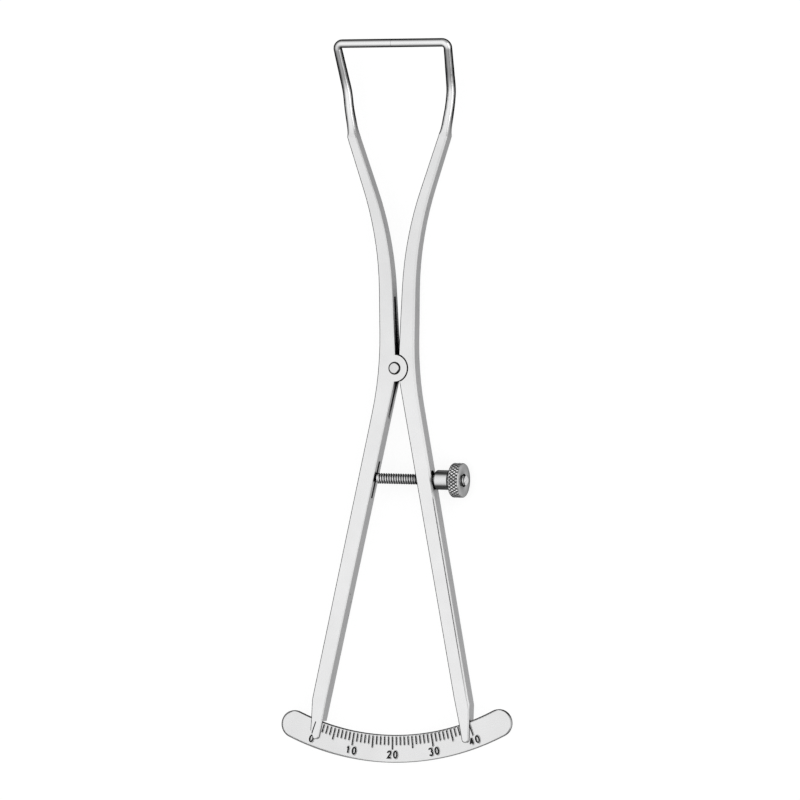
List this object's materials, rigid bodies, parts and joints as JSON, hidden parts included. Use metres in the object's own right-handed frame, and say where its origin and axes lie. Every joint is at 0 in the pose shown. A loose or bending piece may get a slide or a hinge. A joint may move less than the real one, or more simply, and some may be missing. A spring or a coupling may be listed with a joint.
{
  "type": "surgical caliper",
  "caption": "Surgical caliper: two pivoted steel arms with round bent jaws, a graduated arched scale with a pointer, and a threaded spindle with a sleeve and nut that closes the handles.",
  "frame": {"origin": "on the centre line of the closed jaws, level with the jaw pivot and 0.6 mm to its right, at the flat back face of the joint", "axes": "+Y along the centre line of the closed jaws towards their tips, +X towards the knurled nut, +Z out of the front face with the scale's marks"},
  "size_m": [0.0668, 0.195, 0.0114],
  "materials": {
    "arm_steel": "polished stainless steel",
    "plate_steel": "satin stainless steel",
    "pin_steel": "polished stainless steel",
    "thread_steel": "bright cut stainless steel",
    "nut_steel": "polished and knurled stainless steel",
    "mark_black": "matt black filling"
  },
  "bodies": {
    "fixed_side": {"fixed_arm": "arm_steel", "scale_plate": "plate_steel", "scale_marks": "mark_black", "scale_numerals": "mark_black"},
    "moving_side": {"moving_arm": "arm_steel", "pivot_pin": "pin_steel", "spindle_pin": "pin_steel", "index_mark": "mark_black"},
    "spindle_body": {"spindle": "thread_steel"},
    "sleeve_body": {"sleeve": "nut_steel"},
    "nut_body": {"knurled_nut": "nut_steel"}
  },
  "joints": [
    {"name": "jaw_pivot", "type": "hinge", "parent": "fixed_side", "child": "moving_side", "pos_m": [-0.0006, 0, 0], "axis": [0, 0, 1], "range_deg": [0, 22]},
    {"name": "spindle_swing", "type": "hinge", "parent": "moving_side", "child": "spindle_body", "pos_m": [-0.00906, -0.02962, 0.00214], "axis": [0, 0, 1], "range_deg": [-11, 0]},
    {"name": "sleeve_slide", "type": "slide", "parent": "spindle_body", "child": "sleeve_body", "axis": [-0.9998, 0.0213, 0], "range_m": [0, 0.0122]},
    {"name": "nut_spin", "type": "hinge", "parent": "sleeve_body", "child": "nut_body", "pos_m": [0.01716, -0.03018, 0.00214], "axis": [-0.9998, 0.0213, 0], "range_deg": [0, 6274.29]}
  ],
  "couplings": [
    {"joint": "spindle_swing", "follows": "jaw_pivot", "ratio": -0.5},
    {"joint": "sleeve_slide", "follows": "jaw_pivot", "m_per_rad": 0.031773},
    {"joint": "nut_spin", "follows": "jaw_pivot", "ratio": 285.19}
  ]
}
